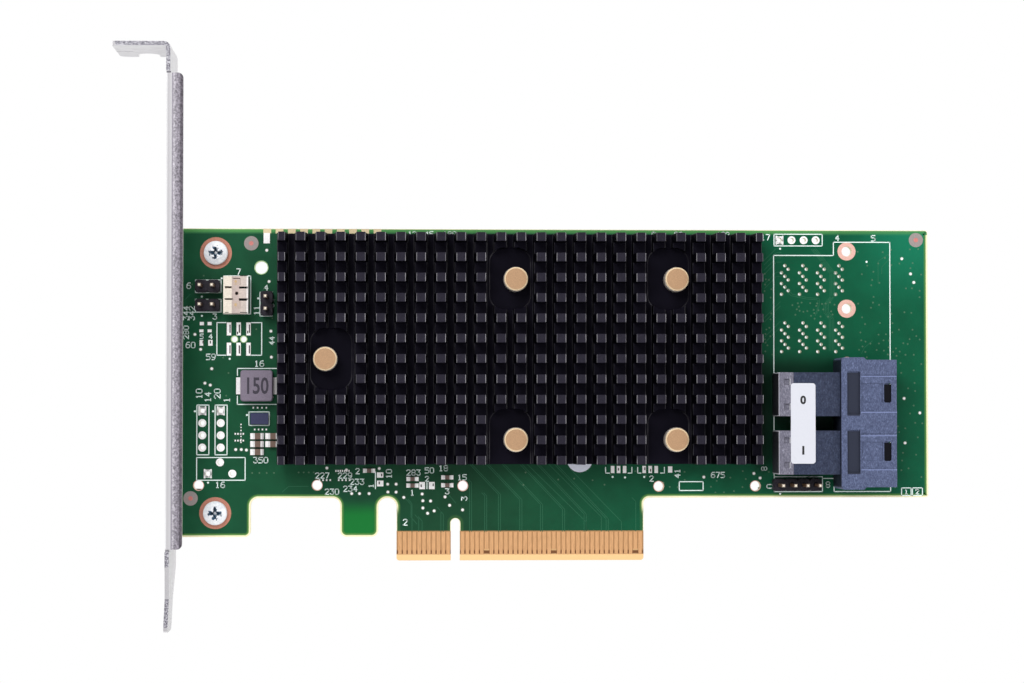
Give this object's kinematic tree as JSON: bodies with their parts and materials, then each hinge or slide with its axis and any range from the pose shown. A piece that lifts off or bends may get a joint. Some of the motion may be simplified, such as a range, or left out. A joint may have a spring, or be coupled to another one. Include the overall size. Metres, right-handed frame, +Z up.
{
  "type": "raid controller card",
  "caption": "Low-profile expansion card with an edge connector, a pin-fin heatsink on sprung push pins, a two-port internal drive connector and a full-height bracket.",
  "frame": {"origin": "bottom edge of the board, at the middle of the key notch and of the board's thickness", "axes": "+X along the board away from the bracket, +Z up towards the board's top edge, component side faces -Y"},
  "size_m": [0.169, 0.0187, 0.12],
  "materials": {
    "solder_mask": "satin",
    "gold_contact": "bright",
    "bracket_metal": "satin",
    "screw_metal": "bright",
    "black_aluminium": "matte",
    "pin_plastic": "satin",
    "spring_steel": "bright",
    "chip_black": "matte",
    "chip_substrate": "satin",
    "bare_metal": "satin",
    "solder": "bright",
    "thermal_pad": "matte",
    "port_plastic": "satin",
    "cover_plastic": "satin",
    "label_film": "matte",
    "header_plastic": "matte",
    "socket_plastic": "satin",
    "inductor_core": "matte",
    "tinned_metal": "satin",
    "chip_blue": "satin",
    "capacitor_ceramic": "satin",
    "fuse_ceramic": "satin"
  },
  "bodies": {
    "root": {"circuit_board": "solder_mask", "edge_contacts_front": "gold_contact", "edge_contacts_back": "gold_contact", "top_edge_pads": "gold_contact", "mounting_bracket": "bracket_metal", "bracket_screws": "screw_metal", "heatsink": "black_aluminium", "push_pins": "pin_plastic", "push_pin_springs": "spring_steel", "controller_substrate": "chip_substrate", "controller_solder_balls": "solder", "controller_lid": "bare_metal", "thermal_pad": "thermal_pad", "port_housing": "port_plastic", "port_body_upper": "port_plastic", "port_body_lower": "port_plastic", "port_cover_upper": "cover_plastic", "port_cover_lower": "cover_plastic", "port_contacts_upper": "gold_contact", "port_contacts_lower": "gold_contact", "port_pins": "tinned_metal", "port_label": "label_film", "activity_header": "header_plastic", "fault_header": "header_plastic", "option_header": "header_plastic", "serial_header": "header_plastic", "header_pins": "gold_contact", "keyed_socket": "socket_plastic", "keyed_socket_contacts": "gold_contact", "power_inductor": "inductor_core", "power_inductor_terminals": "tinned_metal", "regulator_chip": "chip_blue", "ceramic_capacitors": "capacitor_ceramic", "ceramic_capacitor_ends": "tinned_metal", "chip_fuses": "fuse_ceramic", "chip_fuse_ends": "tinned_metal", "back_capacitors": "capacitor_ceramic", "back_capacitor_ends": "tinned_metal", "flash_chip": "chip_black", "flash_chip_leads": "tinned_metal", "memory_chip": "chip_black", "hidden_inductors": "inductor_core", "round_sticker": "label_film"}
  },
  "joints": []
}
